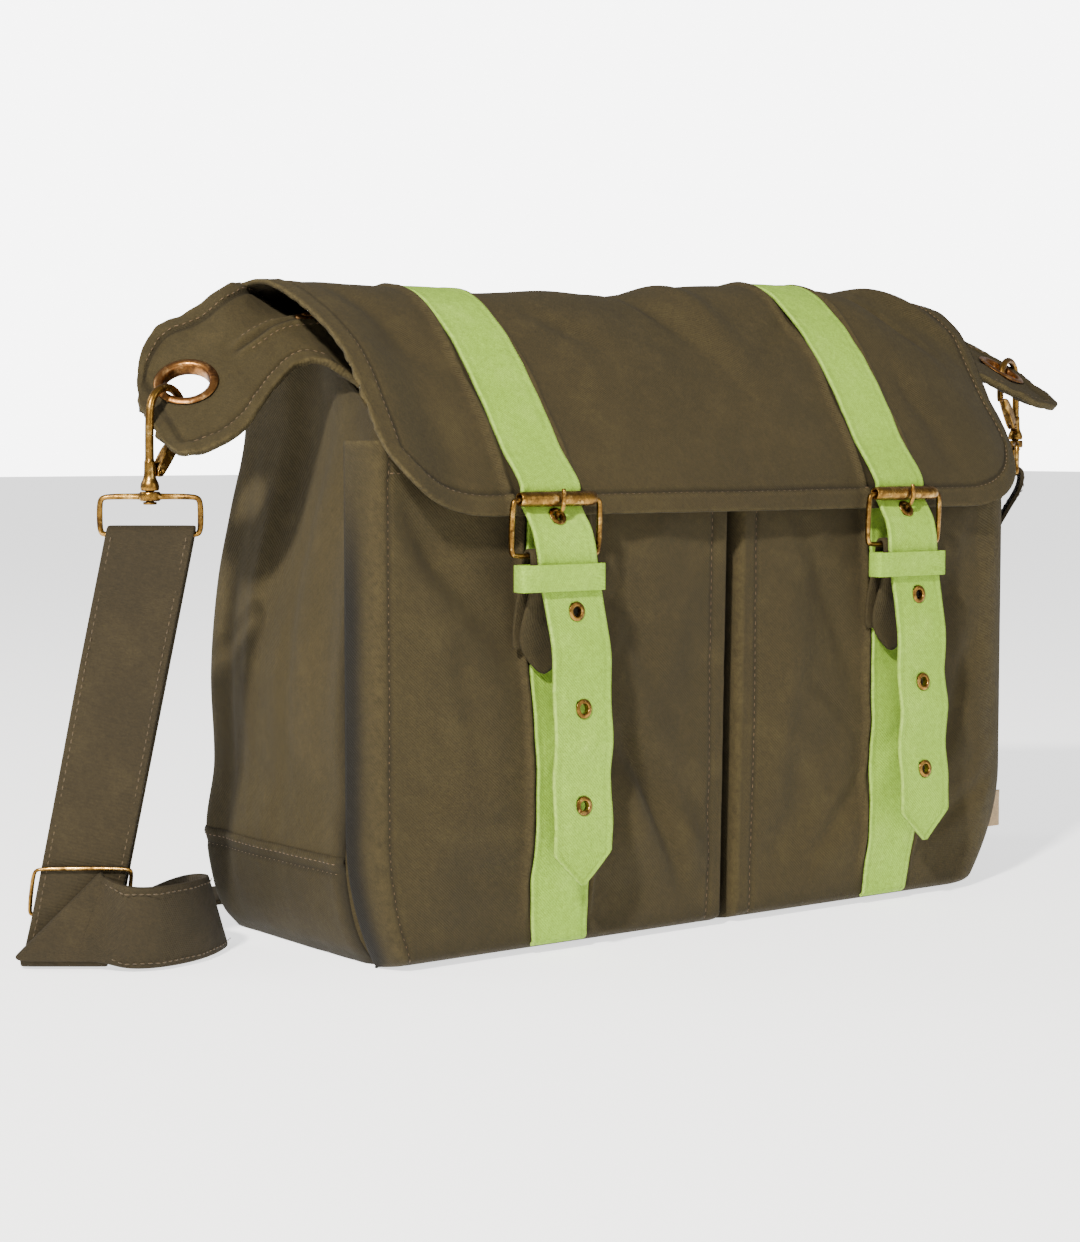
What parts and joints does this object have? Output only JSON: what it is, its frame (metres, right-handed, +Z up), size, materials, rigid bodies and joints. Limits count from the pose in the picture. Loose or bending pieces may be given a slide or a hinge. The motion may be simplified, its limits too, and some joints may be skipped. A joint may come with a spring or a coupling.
{
  "type": "haversack",
  "caption": "Canvas haversack with a wide front flap, strapped front pockets, zipped top and a hooked shoulder strap.",
  "frame": {"origin": "middle of the flat base on the floor", "axes": "+X to the bag's right as seen from its front, -Y to the front, +Z up"},
  "size_m": [0.634, 0.2548, 0.3154],
  "materials": {
    "canvas": "matt washed cotton canvas",
    "lime": "matt cotton webbing",
    "zip_cloth": "matt zip tape",
    "brass": "antique brass",
    "copper": "copper bronze",
    "label": "woven cotton tab"
  },
  "bodies": {
    "bag": {"front_panel": "canvas", "back_panel": "canvas", "base_panel": "canvas", "side_panel_left": "canvas", "side_band_left": "canvas", "side_panel_right": "canvas", "side_band_right": "canvas", "zip_tape": "zip_cloth", "zip_chain": "copper", "zip_slider": "copper", "top_panel": "canvas", "grommet_left": "copper", "grommet_right": "copper", "pocket_left": "canvas", "pocket_strip_left": "lime", "pocket_right": "canvas", "pocket_strip_right": "lime", "flap": "canvas", "strap_left": "lime", "eyelet_left_1": "brass", "eyelet_left_2": "brass", "eyelet_left_3": "brass", "eyelet_left_4": "brass", "buckle_frame_left": "brass", "buckle_roller_left": "brass", "buckle_prong_left": "brass", "chape_left": "canvas", "keeper_left": "lime", "strap_right": "lime", "eyelet_right_1": "brass", "eyelet_right_2": "brass", "eyelet_right_3": "brass", "eyelet_right_4": "brass", "buckle_frame_right": "brass", "buckle_roller_right": "brass", "buckle_prong_right": "brass", "chape_right": "canvas", "keeper_right": "lime", "snap_hook_left": "brass", "snap_hook_right": "brass", "bail_left": "brass", "bail_right": "brass", "shoulder_strap": "canvas", "strap_slider": "brass", "side_label": "label"},
    "trigger_left": {"trigger_left": "brass"},
    "trigger_right": {"trigger_right": "brass"}
  },
  "joints": [
    {"name": "trigger_left_pivot", "type": "hinge", "parent": "bag", "child": "trigger_left", "pos_m": [-0.26943, -0.01214, 0.21923], "axis": [0.3584, -0.9336, 0], "range_deg": [0, 16], "stiffness_Nm_per_rad": 0.015, "springref_deg": -14.32},
    {"name": "trigger_right_pivot", "type": "hinge", "parent": "bag", "child": "trigger_right", "pos_m": [0.28917, 0.002, 0.2418], "axis": [-0.342, 0.9397, 0], "range_deg": [0, 16], "stiffness_Nm_per_rad": 0.015, "springref_deg": -14.32}
  ]
}
